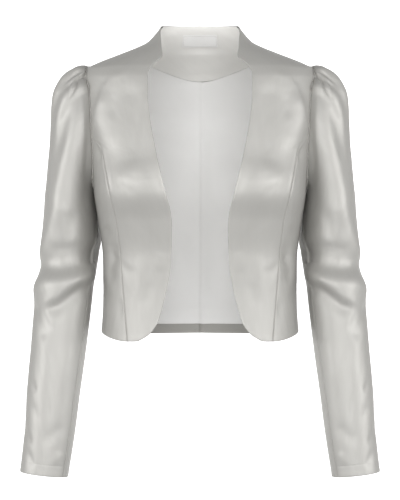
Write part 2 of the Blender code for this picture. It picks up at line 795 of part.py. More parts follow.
def main():
    for old in list(bpy.data.objects):
        bpy.data.objects.remove(old)
    bpy.context.scene.collection.children.link(jacket)
    build_back("left", 0.0, 1.0)
    build_back("right", 0.5, -1.0)
    build_neck_facing()
    build_lining()
    build_label()
    for side, mirrored in (("left", False), ("right", True)):
        build_fronts(side, mirrored)
        build_sleeve(side, mirrored)


main()
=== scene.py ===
import math

import bpy
import numpy as np
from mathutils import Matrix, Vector


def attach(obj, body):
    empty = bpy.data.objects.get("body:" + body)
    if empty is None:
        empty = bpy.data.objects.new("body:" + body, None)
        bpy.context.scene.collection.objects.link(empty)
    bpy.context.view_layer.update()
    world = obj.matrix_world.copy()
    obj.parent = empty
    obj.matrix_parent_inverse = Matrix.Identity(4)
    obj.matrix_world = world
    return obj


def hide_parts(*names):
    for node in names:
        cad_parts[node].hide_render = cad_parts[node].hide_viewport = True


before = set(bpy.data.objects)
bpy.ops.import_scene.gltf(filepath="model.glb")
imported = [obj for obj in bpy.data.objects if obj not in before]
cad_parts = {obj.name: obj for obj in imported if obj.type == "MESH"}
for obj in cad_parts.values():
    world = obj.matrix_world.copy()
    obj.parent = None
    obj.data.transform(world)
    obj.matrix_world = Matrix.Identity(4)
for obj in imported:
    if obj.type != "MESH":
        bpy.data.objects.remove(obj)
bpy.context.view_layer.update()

mm = 0.001

# All cloth is laid out in millimetres on the wearer's left half and mirrored for the right.
# A turn on the body is 0 at centre front, 90 at the side, 180 at centre back.
# A turn on a sleeve is 0 outside, 90 in front, 180 against the body, 270 behind.

cloth = {
    "outerWall": 1.3, "liningWall": 1.0, "labelWall": 0.8,
    "seamGap": 0.45, "layerGap": 0.65, "labelGap": 0.8, "edgeRound": 0.6,
}


class Curve:
    # smooth line through a table's first and another column that never overshoots
    def __init__(self, table, column):
        rows = sorted((row[0], row[column]) for row in table)
        self.keys = np.array([row[0] for row in rows], float)
        self.values = np.array([row[1] for row in rows], float)
        slopes = np.diff(self.values) / np.diff(self.keys)
        both = slopes[:-1] * slopes[1:]
        total = slopes[:-1] + slopes[1:]
        mean = np.where(both > 0, 2 * both / np.where(total == 0, 1, total), 0)
        self.slopes = np.concatenate([slopes[:1], mean, slopes[-1:]])

    def __call__(self, at):
        at = np.clip(at, self.keys[0], self.keys[-1])
        i = np.clip(np.searchsorted(self.keys, at, side="right") - 1, 0, len(self.keys) - 2)
        step = self.keys[i + 1] - self.keys[i]
        t = (at - self.keys[i]) / step
        near = (1 + 2 * t) * (1 - t) ** 2 * self.values[i] + t * (1 - t) ** 2 * step * self.slopes[i]
        far = t * t * (3 - 2 * t) * self.values[i + 1] + t * t * (t - 1) * step * self.slopes[i + 1]
        return near + far


def mix(a, b, share):
    return a + (b - a) * share


def smooth(value):
    value = np.clip(value, 0, 1)
    return value * value * (3 - 2 * value)


def bell(away, width):
    return np.exp(-((away / width) ** 2))


def foldRise(folds, turn, height, mmPerDegree):
    total = np.zeros(np.broadcast(turn, height).shape)
    for turnA, heightA, turnB, heightB, rise, halfWidth in folds:
        alongX, alongY = (turnB - turnA) * mmPerDegree, heightB - heightA
        x, y = (turn - turnA) * mmPerDegree, height - heightA
        share = np.clip((x * alongX + y * alongY) / (alongX ** 2 + alongY ** 2), 0, 1)
        away = (x - alongX * share) ** 2 + (y - alongY * share) ** 2
        total = total + rise * np.exp(-away / halfWidth ** 2)
    return total


# the jacket's body

body = {
    "sections": [  # height, half width, front depth, back depth, squareness
        (44, 54, 41, 53, 2.0), (34.5, 58.8, 46, 56, 2.0), (18, 71.8, 56, 61, 2.0), (10, 80.5, 60, 65, 2.0),
        (3.5, 93.8, 63, 68, 2.0), (-7.5, 121.4, 70, 74, 2.05), (-21.5, 156.6, 80, 82, 2.1),
        (-30, 172, 86, 87, 2.1), (-45, 176, 94, 93, 2.15), (-105, 173, 111, 108, 2.3),
        (-150, 166.5, 124, 110, 2.35), (-190, 161, 131, 107, 2.4), (-214.5, 158.9, 131, 105, 2.4),
        (-258, 152.4, 123, 99, 2.35), (-315, 145.4, 112, 92, 2.3), (-375, 145.2, 108, 90, 2.3),
        (-440, 149, 110, 94, 2.25),
    ],
    "folds": [  # turn and height of both ends, rise, half width
        (34, -208, 54, -212, 6.2, 36), (50, -75, 44, -165, -3.2, 18), (67, -90, 62, -135, 2.6, 16),
        (62, -300, 66, -335, -2.2, 11), (150, -310, 118, -345, -2.2, 15), (164, -150, 128, -120, 2.4, 22),
    ],
    "mmPerDegree": 2.3,
    "frontEdge": [  # row, half width, height
        (0, 57.6, 31), (1, 59.4, 24), (2, 57.9, 10.5), (3, 56.6, -2.8), (4, 55.2, -14.2), (5, 69.3, -28.4),
        (6, 76.3, -42), (8, 76.1, -72), (10, 73, -103), (13, 63.8, -155), (16, 50.2, -209),
        (19, 40.5, -265), (21, 42.7, -325), (22, 47.3, -352), (23, 54, -381), (24, 61.2, -406),
    ],
    "frontHem": [  # share, half width, height
        (0, 61.2, -406), (0.25, 70.5, -419.3), (0.5, 81.5, -428.3), (0.75, 93.5, -433.5), (1, 106.6, -434),
    ],
    "princessSeam": [  # height, half width
        (-144.3, 149.2), (-157.6, 143), (-179, 136.8), (-200, 130.6), (-251.5, 122.4),
        (-305.8, 117.6), (-368.2, 112.5), (-434, 106.6),
    ],
    "princessStart": 101, "princessEase": 1.2,
    "collarTop": [(75, 31), (84, 34), (96, 36.8), (112, 38.3), (130, 39.7), (180, 41.4)],  # turn, height
    "backHem": [(90, -421.5), (110, -425.6), (137, -428.4), (180, -427.8)],  # turn, height
    "neckPoint": 5, "hemSide": -421.5, "hemBack": -427.8, "liningHemRise": 14.6,
    "armholeTop": -25.4, "armholeBottom": -207, "armholeFront": 50, "armholeBack": 52,
    "facingDepth": 81, "backDipEase": 1.3,
    "frontRows": (3, 6, 13, 24), "backRows": (5, 7, 16, 23, 24),
}

bodyWidth, bodyFront, bodyBack, bodySquare = (Curve(body["sections"], i) for i in (1, 2, 3, 4))
edgeWidth, edgeHeight = Curve(body["frontEdge"], 1), Curve(body["frontEdge"], 2)
hemWidth, hemHeightFront = Curve(body["frontHem"], 1), Curve(body["frontHem"], 2)
princessWidth, collarTop = Curve(body["princessSeam"], 1), Curve(body["collarTop"], 1)
backHem = Curve(body["backHem"], 1)


def bodySkin(turn, height):
    depth = np.where(turn < 90, bodyFront(height), bodyBack(height))
    power = bodySquare(height)
    across, forward = np.sin(np.radians(turn)), np.cos(np.radians(turn))
    reach = (np.abs(across) / bodyWidth(height)) ** power + (np.abs(forward) / depth) ** power
    reach = reach ** (-1 / power) + foldRise(body["folds"], turn, height, body["mmPerDegree"])
    return np.stack([reach * across, -reach * forward, height + 0 * turn], -1)


def unit(vectors):
    return vectors / np.maximum(np.linalg.norm(vectors, axis=-1, keepdims=True), 1e-9)


def bodyPoint(turn, height, inset=0.0):
    point = bodySkin(turn, height)
    step = 0.5
    alongTurn = bodySkin(turn + step, height) - bodySkin(turn - step, height)
    alongHeight = bodySkin(turn, height + step) - bodySkin(turn, height - step)
    inset = np.asarray(inset)[..., None]
    return point - unit(np.cross(alongTurn, alongHeight)) * inset


def turnAt(halfWidth, height):
    power = bodySquare(height)
    share = np.minimum(halfWidth / bodyWidth(height), 1)
    forward = bodyFront(height) * (1 - share ** power) ** (1 / power)
    return np.degrees(np.arctan2(halfWidth, forward))


def armholePlace(turn, inset=0.0):
    top, bottom = body["armholeTop"], body["armholeBottom"]
    height = (top + bottom) / 2 + ((top - bottom) / 2 - inset) * np.cos(np.radians(turn))
    forward = np.sin(np.radians(turn))
    power = bodySquare(height)
    inFront = forward >= 0
    reach = forward * (np.where(inFront, body["armholeFront"], body["armholeBack"]) - inset)
    depth = np.where(inFront, bodyFront(height), bodyBack(height))
    out = bodyWidth(height) * (1 - (np.abs(reach) / depth) ** power) ** (1 / power)
    return np.degrees(np.arctan2(out, reach)), height


def hemHeight(turn):
    lastTurn = turnAt(*body["frontHem"][-1][1:])
    share = smooth((90 - turn) / (90 - lastTurn))
    inFront = mix(body["hemSide"], body["frontHem"][-1][2], share)
    return np.where(turn < 90, inFront, backHem(turn))


def patch(left, right, top, bottom, across, down):
    # a smooth patch between four sides, each given as turns and heights
    result = []
    for i in (0, 1):
        sides = mix(left(down)[i], right(down)[i], across)
        ends = mix(top(across)[i], bottom(across)[i], down)
        zero, one = np.zeros(1), np.ones(1)
        upper = mix(top(zero)[i], top(one)[i], across)
        lower = mix(bottom(zero)[i], bottom(one)[i], across)
        result.append(sides + ends - mix(upper, lower, down))
    return result


def princessPlace(share):
    turn, top = armholePlace(np.float64(body["princessStart"]))
    firstHeight, firstWidth = body["princessSeam"][0]
    height = mix(top, body["princessSeam"][-1][0], share ** body["princessEase"])
    joined = np.clip((height - firstHeight) / (top - firstHeight), 0, 1)
    high = mix(turnAt(firstWidth, firstHeight), turn, joined)
    return np.where(height > firstHeight, high, turnAt(princessWidth(height), height)), height


def frontEdgePlace(down):
    row = down * body["frontRows"][-1]
    return turnAt(edgeWidth(row), edgeHeight(row)), edgeHeight(row)


def frontHemPlace(share):
    return turnAt(hemWidth(share), hemHeightFront(share)), hemHeightFront(share)


def seamShift(turn, height):
    width = np.linalg.norm(bodySkin(turn, height) - bodySkin(turn - 1, height), axis=-1)
    return cloth["seamGap"] / 2 / width


def between(row, first, last):
    return np.clip((row - first) / (last - first), 0, 1)


def frontOuterPlace(down):
    neckRow, shoulderRow, princessRow, lastRow = body["frontRows"]
    row = down * lastRow
    side = mix(collarTop(90.0), body["neckPoint"], between(row, 0, neckRow))
    shoulder = mix(body["neckPoint"], body["armholeTop"], between(row, neckRow, shoulderRow))
    side = np.where(row < neckRow, side, shoulder)
    holeTurn, holeHeight = armholePlace(body["princessStart"] * between(row, shoulderRow, princessRow))
    holeTurn = np.minimum(holeTurn, 90 - seamShift(90.0, holeHeight))
    seamTurn, seamHeight = princessPlace(between(row, princessRow, lastRow))
    seamTurn = seamTurn - seamShift(seamTurn, seamHeight)
    turn = np.where(row < princessRow, holeTurn, seamTurn)
    turn = np.where(row < shoulderRow, 90 - seamShift(90.0, side), turn)
    height = np.where(row < shoulderRow, side, np.where(row < princessRow, holeHeight, seamHeight))
    return turn, height


def frontTopPlace(share):
    zero = np.zeros(1)
    turn = mix(frontEdgePlace(zero)[0], frontOuterPlace(zero)[0], share)
    return turn, collarTop(turn)


def frontPlace(across, down):
    return patch(frontEdgePlace, frontOuterPlace, frontTopPlace, frontHemPlace, across, down)


def sideInnerPlace(share):
    turn, height = princessPlace(share)
    return turn + seamShift(turn, height), height


def sideSeamPlace(share):
    height = mix(body["armholeBottom"], body["hemSide"], share)
    return 90 - seamShift(90.0, height), height


def sideTopPlace(share):
    turn, height = armholePlace(mix(body["princessStart"], 180.0, share))
    turn = turn + np.where(share < 0.01, seamShift(turn, height), 0)
    return np.minimum(turn, 90 - seamShift(90.0, height)), height


def sideHemPlace(share):
    one = np.ones(1)
    turn = mix(sideInnerPlace(one)[0], sideSeamPlace(one)[0], share)
    return turn, hemHeight(turn)


def sideFrontPlace(across, down):
    return patch(sideInnerPlace, sideSeamPlace, sideTopPlace, sideHemPlace, across, down)


def backLowerHeight(row, fromRow, fromHeight, hem):
    hemRow, lastRow = body["backRows"][-2:]
    liningHem = hem + body["liningHemRise"]
    upper = mix(fromHeight, liningHem, between(row, fromRow, hemRow))
    return np.where(row > hemRow, mix(liningHem, hem, between(row, hemRow, lastRow)), upper)


def backOuterPlace(row):
    shoulderRow, underarmRow = body["backRows"][1:3]
    shoulder = mix(collarTop(90.0), body["armholeTop"], between(row, 0, shoulderRow))
    holeTurn, holeHeight = armholePlace(-180 * between(row, shoulderRow, underarmRow))
    holeTurn = np.maximum(holeTurn, 90 + seamShift(90.0, holeHeight))
    lower = backLowerHeight(row, underarmRow, body["armholeBottom"], body["hemSide"])
    height = np.where(row < shoulderRow, shoulder, np.where(row < underarmRow, holeHeight, lower))
    onSeam = (row < shoulderRow) | (row >= underarmRow)
    return np.where(onSeam, 90 + seamShift(90.0, height), holeTurn), height


def backCentreHeight(row):
    facingRow = body["backRows"][0]
    collarBack = body["collarTop"][-1][1]
    facingEdge = collarBack - body["facingDepth"]
    upper = mix(collarBack, facingEdge, between(row, 0, facingRow))
    lower = backLowerHeight(row, facingRow, facingEdge, body["hemBack"])
    return np.where(row < facingRow, upper, lower)


def backPoint(across, row, inset):
    # the whole back, 0 at the wearer's left, 0.5 at the centre and 1 at the wearer's right
    half = 1 - np.abs(2 * across - 1)
    turn, height = backOuterPlace(row)
    dip = np.sin(half ** body["backDipEase"] * math.pi / 2) ** 2
    turn = mix(turn, 180.0, half)
    level = mix(height, backCentreHeight(row), dip)
    top = collarTop(turn) - mix(collarTop(90.0), body["collarTop"][-1][1], dip)
    level = level + top * (1 - between(row, 0, body["backRows"][0]))
    hem = backHem(turn) - mix(body["hemSide"], body["hemBack"], dip)
    level = level + hem * between(row, body["backRows"][2], body["backRows"][4])
    point = bodyPoint(turn, level, inset)
    point[..., 0] *= np.where(across > 0.5, -1, 1)
    return point


# the sleeves

sleeve = {
    "sections": [  # height, centre out, centre back, half width, half depth, tilt, swing, push
        (-225, 197.4, 4, 36, 58, 0, 6, 3.8), (-240, 196.5, 3.5, 37.9, 57, 0, 14, 3.6),
        (-270, 195.4, 2, 41.6, 55.5, 1, 26, 3.4), (-287, 195.3, 0.9, 43.2, 54.7, 1.6, 24, 2.8),
        (-301, 195.8, 0, 43.6, 54, 2, 20, 0.4), (-325, 197.9, -2.5, 42.7, 52, 4, 12, 0),
        (-350, 202.4, -5, 43.3, 50, 6, 6, 0), (-375, 204.6, -8, 42.9, 48, 6.5, 0, 0),
        (-445, 211, -17, 41.2, 43.5, 6.5, 0, 0), (-516, 218.6, -25, 39.4, 40, 6.5, 0, 0),
        (-560, 222.2, -29, 37.6, 38, 6.5, 0, 0), (-632, 231.2, -35, 35.8, 35, 6.5, 0, 0),
    ],
    "squareness": 2.15, "capShare": 0.34,
    "head": [  # turn, run out, turn down
        (0, 43.2, 148), (45, 40, 118), (90, 27, 62), (135, 12, 24), (180, 4, 6),
        (225, 12, 24), (270, 27, 62), (315, 40, 118), (360, 43.2, 148),
    ],
    "seams": [  # share, front turn, back turn
        (0, 146, 216), (0.34, 156, 222), (0.55, 147, 226), (1, 143, 224),
    ],
    "folds": [
        (150, -302, 14, -329, -4.4, 16), (140, -337, 20, -362, 3.4, 14),
        (75, -240, 15, -318, 2.4, 13), (25, -392, 60, -424, -2.2, 10),
        (220, -338, 330, -326, -3.6, 14), (214, -360, 300, -380, -3.0, 11), (230, -560, 300, -582, -2.4, 11),
    ],
    "mmPerDegree": 0.75,
    "pleats": [  # turn, lean, half width, rise, reach
        (0, 1, 6.5, 2.0, 0.60), (25, 4, 6.5, 5.2, 0.85), (50, 6, 7, 4.6, 0.70),
        (-25, -4, 6.5, 5.0, 0.80), (-50, -6, 7, 4.4, 0.66),
    ],
    "pleatedHalfTurn": 62.5, "columns": (20, 5, 7), "rows": (8, 15),
    "seamInset": 0.5, "seamStep": 0.35, "seamGap": 0.8,
    "leaveUp": 0.12, "leaveUnder": 2.8, "leaveForward": 0.45,
}

armOut, armBack, armWidth, armDepth = (Curve(sleeve["sections"], i) for i in (1, 2, 3, 4))
armTilt, armSwing, armPush = (Curve(sleeve["sections"], i) for i in (5, 6, 7))
headOut, headDown = Curve(sleeve["head"], 1), Curve(sleeve["head"], 2)
frontSeamTurn, backSeamTurn = Curve(sleeve["seams"], 1), Curve(sleeve["seams"], 2)


def armSkin(turn, height):
    out, forward = np.cos(np.radians(turn)), np.sin(np.radians(turn))
    power = sleeve["squareness"]
    reach = (np.abs(out) / armWidth(height)) ** power + (np.abs(forward) / armDepth(height)) ** power
    reach = reach ** (-1 / power) + foldRise(sleeve["folds"], turn, height, sleeve["mmPerDegree"])
    tilt = np.radians(armTilt(height))
    inner = np.minimum(out, 0) ** 2
    x = armOut(height) + reach * out * np.cos(tilt) - armPush(height) * inner
    y = armBack(height) - reach * forward + armSwing(height) * inner
    return np.stack([x, y, height + reach * out * np.sin(tilt)], -1)


def sleeveBase(turn, share):
    top, bottom, cap = sleeve["sections"][0][0], sleeve["sections"][-1][0], sleeve["capShare"]
    arm = armSkin(turn, mix(top, bottom, np.clip((share - cap) / (1 - cap), 0, 1)))
    turn = turn % 360.0
    up, forward = np.cos(np.radians(turn)), np.sin(np.radians(turn))
    t = np.clip(share / cap, 0, 1)[..., None]
    start = bodyPoint(*armholePlace(turn, sleeve["seamInset"])) + np.array([sleeve["seamStep"], 0, 0])
    rise = np.where(up > 0, sleeve["leaveUp"] * up, sleeve["leaveUnder"] * up ** 3)
    leaving = unit(np.stack([1 + 0 * up, -sleeve["leaveForward"] * forward, rise], -1))
    end = armSkin(turn, top + 0 * turn)
    first = start + leaving * headOut(turn)[..., None]
    last = end + unit(end - armSkin(turn, top - 4 + 0 * turn)) * headDown(turn)[..., None]
    head = start * (1 - t) ** 3 + first * 3 * t * (1 - t) ** 2 + last * 3 * t * t * (1 - t) + end * t ** 3
    return np.where(share[..., None] > cap, arm, head)


def pleatRise(turn, share):
    t = np.clip(share / sleeve["capShare"], 0, 1)
    signed = (turn + 180) % 360 - 180
    total = 0 * t
    for centre, lean, halfWidth, rise, reach in sleeve["pleats"]:
        spread = halfWidth * (0.8 + 0.6 * t)
        fade = np.sin(math.pi * np.clip(t / reach, 0, 1) ** 0.45)
        away = signed - centre - lean * t
        total = total + rise * fade * bell(away, spread)
    return total


def sleevePoint(turn, share):
    step = 0.01
    alongTurn = sleeveBase(turn - 1, share) - sleeveBase(turn + 1, share)
    down = sleeveBase(turn, share + step) - sleeveBase(turn, np.maximum(share - step, 0))
    return sleeveBase(turn, share) + unit(np.cross(down, alongTurn)) * pleatRise(turn, share)[..., None]


def sleeveShare(down):
    capRows, armRows = sleeve["rows"]
    row = down * (capRows + armRows)
    cap = sleeve["capShare"]
    return np.where(row < capRows, cap * row / capRows, mix(cap, 1.0, (row - capRows) / armRows))


def sleeveHalfGap(share):
    underarm = np.maximum(1 - share / sleeve["capShare"], 0)
    return sleeve["seamGap"] / 2 / sleeve["mmPerDegree"] * (1 + underarm)


def sleeveUpperTurn(across, share):
    headColumns, sideColumns = sleeve["columns"][:2]
    wide = sleeve["pleatedHalfTurn"]
    front = frontSeamTurn(share) - sleeveHalfGap(share)
    back = backSeamTurn(share) + sleeveHalfGap(share) - 360
    column = across * (headColumns + 2 * sideColumns)
    first = mix(front, wide, between(column, 0, sideColumns))
    middle = wide * (1 - 2 * between(column, sideColumns, sideColumns + headColumns))
    last = mix(-wide, back, between(column, sideColumns + headColumns, headColumns + 2 * sideColumns))
    inMiddle = column < sideColumns + headColumns
    return np.where(column < sideColumns, first, np.where(inMiddle, middle, last))


def sleeveUnderTurn(across, share):
    front = frontSeamTurn(share) + sleeveHalfGap(share)
    back = backSeamTurn(share) - sleeveHalfGap(share)
    return mix(back, front, across)


# creases placed one by one: points seen from the front as (out, height), rise, half width on
# each side of the line, and how strong the crease is where it starts. A line that runs down
# has the side nearer the middle first, and one that runs out has the side below it first.

frontCreases = [
    ([(82.7, -41.8), (91.4, -115.8), (103, -185.4)], -1.6, 9, 13, 0.6),
    ([(140, -59), (151, -92), (155, -116), (152, -138)], 2.2, 12, 5, 0.4),
    ([(79, -45), (75, -100), (66, -152)], 1.5, 4, 16, 0.5),
    ([(126, -70), (130, -112)], -0.9, 7, 7, 0.3),
    ([(144, -147), (139.3, -169.4), (130.6, -213), (127.7, -227.5)], 1.5, 2.6, 4.0, 0.2),
    ([(149, -147), (144, -172)], -1.6, 4, 5, 0.7),
    ([(140, -192), (96, -203), (52, -201)], 0.9, 11, 13, 0.2),
    ([(121, -202), (104, -214), (86, -217)], -0.7, 8, 10, 0.1),
    ([(69, -150), (76, -176), (70, -204)], -0.8, 8, 9, 0.3),
    ([(131.3, -296), (126, -312), (133.5, -330), (129, -352)], -1.7, 5, 6, 0.2),
    ([(139, -262), (133, -288)], -1.1, 6, 7, 0.1),
    ([(118, -318), (104, -331), (88, -334)], -0.7, 6, 8, 0.6),
    ([(56, -300), (58, -336)], 0.7, 9, 10, 0.1),
    ([(84, -300), (92, -352), (96, -398)], 0.8, 9, 9, 0.0),
    ([(72, -342), (79, -388)], -0.6, 8, 8, 0.0),
    ([(114, -370), (120, -408)], -0.8, 6, 6, 0.0),
    ([(141, -355), (131, -378)], -0.9, 6, 7, 0.5),
    ([(96, -27), (120, -44), (146, -52)], 0.7, 7, 8, 0.0),
]

backCreases = [
    ([(140, -62), (118, -110), (104, -150)], 1.3, 9, 11, 0.5),
    ([(150, -118), (132, -160), (96, -186)], -1.4, 7, 10, 0.6),
    ([(146, -176), (112, -206), (70, -214)], 1.2, 8, 10, 0.4),
    ([(22, -70), (26, -150), (20, -205)], -0.9, 10, 12, 0.1),
    ([(-40, -62), (-34, -128)], 0.8, 10, 12, 0.1),
    ([(132, -262), (104, -276), (60, -272)], -1.5, 6, 9, 0.5),
    ([(128, -286), (92, -302), (44, -298)], 1.4, 7, 8, 0.4),
    ([(-130, -270), (-98, -288), (-52, -290)], -1.3, 6, 9, 0.5),
    ([(-124, -300), (-84, -312), (-36, -306)], 1.2, 7, 8, 0.3),
    ([(-142, -120), (-118, -164), (-84, -186)], -1.3, 7, 10, 0.6),
    ([(-138, -70), (-112, -118), (-96, -158)], 1.2, 9, 11, 0.5),
    ([(-140, -184), (-104, -214), (-60, -222)], 1.1, 8, 10, 0.4),
    ([(96, -330), (104, -378), (98, -414)], 0.8, 9, 9, 0.0),
    ([(-72, -334), (-66, -384), (-74, -416)], 0.8, 9, 9, 0.0),
    ([(14, -318), (8, -372)], -0.7, 9, 9, 0.0),
]

sleeveFrontCreases = [
    ([(168, -27), (178, -31), (190, -41)], 1.0, 4.5, 4.0, 0.8),
    ([(171, -29), (176, -32), (182.4, -38.3), (190.5, -47.7), (201, -58)], -1.8, 2.8, 2.8, 0.5),
    ([(167, -35.5), (179.7, -43), (186.4, -49), (197, -59)], 1.8, 2.6, 3.2, 1.0),
    ([(165, -38), (177, -44.5), (180.8, -49.5), (182.8, -57), (188, -67), (197, -82)], -3.8, 2.6, 2.8, 1.0),
    ([(182, -49), (187.8, -58.4), (193, -68)], 1.4, 2.4, 2.4, 0.3),
    ([(186, -51), (191.8, -58.4), (195, -68)], -1.1, 2.2, 2.2, 0.3),
    ([(180, -34), (193, -50), (205, -66), (213, -88)], 2.4, 9, 9, 0.4),
    ([(189, -86), (200, -108), (207, -140), (213, -175)], -1.8, 8, 9, 0.2),
    (
        [(186, -97), (192, -120), (199, -150), (207, -180), (212, -210), (216, -240), (222, -270),
         (230, -300), (237, -322)], 1.0, 10, 7, 0.1,
    ),
    ([(188, -25), (206, -41), (218, -66), (226, -104)], 3.0, 22, 8, 0.7),
    (
        [(174, -52), (175.5, -75), (173.5, -105), (174, -130), (177, -170), (178, -215), (182, -265)],
        3.2, 6, 17, 0.5,
    ),
    ([(214, -108), (219, -150), (223, -190), (227, -226)], -2.8, 15, 12, 0.2),
    ([(174, -320), (204, -324), (244, -326)], -6.0, 13, 58, 0.6),
    ([(182, -232), (193, -276), (206, -310)], -1.4, 7, 8, 0.1),
    ([(170, -292), (196, -298), (238, -300)], -1.6, 10, 9, 0.6),
    (
        [(242, -379), (224, -374), (213, -369), (201, -360), (184, -346), (165, -339), (146, -332)],
        3.2, 15, 6, 0.1,
    ),
    (
        [(238, -393), (222, -388), (208, -382), (195, -372), (178, -359), (160, -352), (142, -346)],
        -3.4, 6, 12, 0.1,
    ),
    ([(207, -48), (216, -84), (220, -124)], 2.2, 13, 9, 0.6),
    ([(238, -387), (228, -404), (214, -427)], -1.6, 6, 7, 0.5),
    ([(249, -492), (242, -513)], -1.2, 5, 6, 0.4),
    ([(248, -524), (238, -557)], -1.0, 6, 7, 0.3),
    ([(201, -553), (213, -569), (224, -578.5), (238, -588)], -1.2, 8, 9, 0.2),
    ([(257, -565), (248, -590)], -1.3, 4.5, 5.5, 0.6),
    ([(254, -596), (243, -622)], -1.4, 5, 6.5, 0.5),
    ([(186, -430), (198, -470), (204, -520)], 0.8, 8, 9, 0.0),
    ([(228, -420), (226, -470), (231, -515)], 0.8, 8, 9, 0.0),
    ([(206, -596), (214, -618)], 0.8, 6, 6, 0.0),
]

sleeveBackCreases = [
    ([(168, -33), (180, -42), (194, -56)], -2.4, 3.4, 4.2, 1.0),
    ([(166.5, -41), (178, -49), (190, -62)], 2.3, 2.6, 4.2, 1.0),
    ([(167, -47), (178, -57), (187, -76)], -2.8, 2.8, 3.8, 1.0),
    ([(168, -61), (178, -73), (184, -92)], 1.4, 3.6, 4.6, 0.8),
    ([(169, -72), (177, -88), (182, -106)], -1.5, 3.4, 4.4, 0.8),
    ([(194, -92), (201, -118), (208, -146)], -1.5, 5, 7, 0.2),
    ([(184, -120), (190, -164), (196, -206)], 1.2, 8, 8, 0.1),
    ([(206, -226), (222, -268), (234, -312)], 1.4, 7, 8, 0.1),
    ([(170, -312), (198, -322), (234, -330)], -2.6, 6, 8, 0.8),
    ([(172, -338), (202, -344), (238, -350)], 1.6, 6, 7, 0.5),
    ([(168, -352), (194, -366), (226, -372)], -2.6, 5, 7, 0.8),
    ([(172, -378), (198, -386), (222, -398)], 1.0, 6, 7, 0.4),
    ([(240, -402), (226, -424)], -1.2, 5, 6, 0.4),
    ([(196, -452), (206, -496)], 0.9, 8, 9, 0.0),
    ([(244, -520), (236, -552)], -1.0, 6, 7, 0.3),
    ([(204, -560), (222, -578), (240, -584)], -1.8, 5, 6.5, 0.3),
    ([(250, -594), (242, -618)], -1.0, 5, 6, 0.4),
]

liningCreases = [
    ([(3, -346), (12, -358), (24, -372)], 0.9, 4, 5, 0.2),
    ([(-8, -283), (-16, -293), (-26, -306)], 0.9, 4, 5, 0.2),
    ([(64, -96), (50, -150), (46, -205)], 0.8, 10, 12, 0.1),
    ([(-60, -100), (-48, -160), (-50, -220)], -0.8, 10, 12, 0.1),
    ([(30, -210), (26, -262)], -0.6, 8, 9, 0.0),
    ([(-74, -236), (-46, -262), (-20, -270)], 0.8, 6, 8, 0.3),
    ([(76, -250), (48, -274), (22, -282)], 0.8, 6, 8, 0.3),
    ([(-58, -396), (0, -390), (58, -396)], -0.7, 4, 7, 0.5),
    ([(-100, -330), (-66, -344), (-30, -342)], -0.7, 7, 8, 0.3),
    ([(100, -326), (70, -338), (40, -340)], -0.7, 7, 8, 0.3),
]

facingCreases = [
    ([(-110, 12), (-60, 3), (-24, -2), (22, -1.6), (60, 3), (110, 12)], 1.3, 9, 5, 0.7),
    ([(-150, 34), (-40, 37), (0, 38), (40, 37), (240, 34)], 1.0, 13, 6, 0.8),
    ([(-20, -22), (-52, -8), (-74, -2)], 1.1, 7, 7, 0.1),
    ([(14, -24), (50, -10), (74, -2)], 1.2, 7, 7, 0.1),
    ([(34, 31), (46, 22), (58, 14)], 0.9, 4, 5, 0.3),
    ([(-36, 32), (-48, 24), (-60, 16)], 0.9, 4, 5, 0.3),
    ([(20, -12), (34, -24), (52, -32)], 0.5, 5, 6, 0.1),
    ([(-26, -14), (-40, -24)], -0.5, 5, 6, 0.1),
]


def creaseRise(creases, surface):
    # sum of soft ridges and troughs along the listed lines
    x, z = surface[..., 0], surface[..., 2]
    total = np.zeros(np.shape(x))
    for points, rise, widthA, widthB, startStrength in creases:
        points = np.array(points, float)
        lengths = np.linalg.norm(np.diff(points, axis=0), axis=1)
        begun = np.concatenate([[0], np.cumsum(lengths)])
        nearest = np.full(np.shape(x), 1e9)
        side, share = np.zeros(np.shape(x)), np.zeros(np.shape(x))
        for i, length in enumerate(lengths):
            along = (points[i + 1] - points[i]) / length
            px, pz = x - points[i][0], z - points[i][1]
            t = np.clip(px * along[0] + pz * along[1], 0, length)
            away = np.hypot(px - along[0] * t, pz - along[1] * t)
            closer = away < nearest
            nearest = np.where(closer, away, nearest)
            side = np.where(closer, px * along[1] - pz * along[0], side)
            share = np.where(closer, (begun[i] + t) / begun[-1], share)
        width = np.where(side > 0, widthA, widthB)
        strength = mix(startStrength, 1.0, smooth(share / 0.3)) * smooth((1 - share) / 0.45)
        strength = np.maximum(strength, 0.0)
        total = total + rise * strength * bell(nearest, width)
    return total


# cloth pieces

fineLines = (0.07, 0.16, 0.3, 0.5, 0.75)

# grid columns of each piece, and grid lines for each of its rows
fineness = {
    "front": 72, "side": 40, "back": 66, "frontRow": 8, "backRow": 7, "facingRow": 9,
    "sleeveColumn": 5, "capRow": 14, "armRow": 9, "label": (56, 18),
}

# how a seam holds, sinks and puckers and how a free edge rolls, in millimetres from the edge
sewing = {
    "hold": 2.4, "sink": 0.45, "sinkReach": 1.2, "pucker": 0.22, "puckerReach": 5.0,
    "puckerWaves": [(0.3, 0.83, 0.0), (0.2, 0.37, 1.3)],  # size, pace, start
    "toneReach": 1.5, "roll": 0.25, "rollPlace": 3.2, "rollReach": 2.6,
    "rollUneven": 0.2, "rollPaceDown": 0.21, "rollPaceAcross": 0.17,
}


def gridLines(count, fine=fineLines):
    # even shares from 0 to 1, with more lines close to both edges
    near = np.array(fine) / count
    lines = [*np.linspace(0, 1, count + 1), *near, *(1 - near)]
    return np.array(sorted(set(np.round(lines, 6))))


def runLengths(points, axis):
    steps = np.linalg.norm(np.diff(points, axis=axis), axis=-1)
    shape = list(steps.shape)
    shape[axis] = 1
    return np.concatenate([np.zeros(shape), np.cumsum(steps, axis=axis)], axis=axis)


def gridNormals(points):
    return unit(np.cross(np.gradient(points, axis=0), np.gradient(points, axis=1)))


def edgeDrop(away, radius):
    # how far a turned edge has rounded off, this far from the edge
    near = np.clip(1 - away / radius, 0, 1)
    return radius * (1 - np.sqrt(1 - near ** 2))


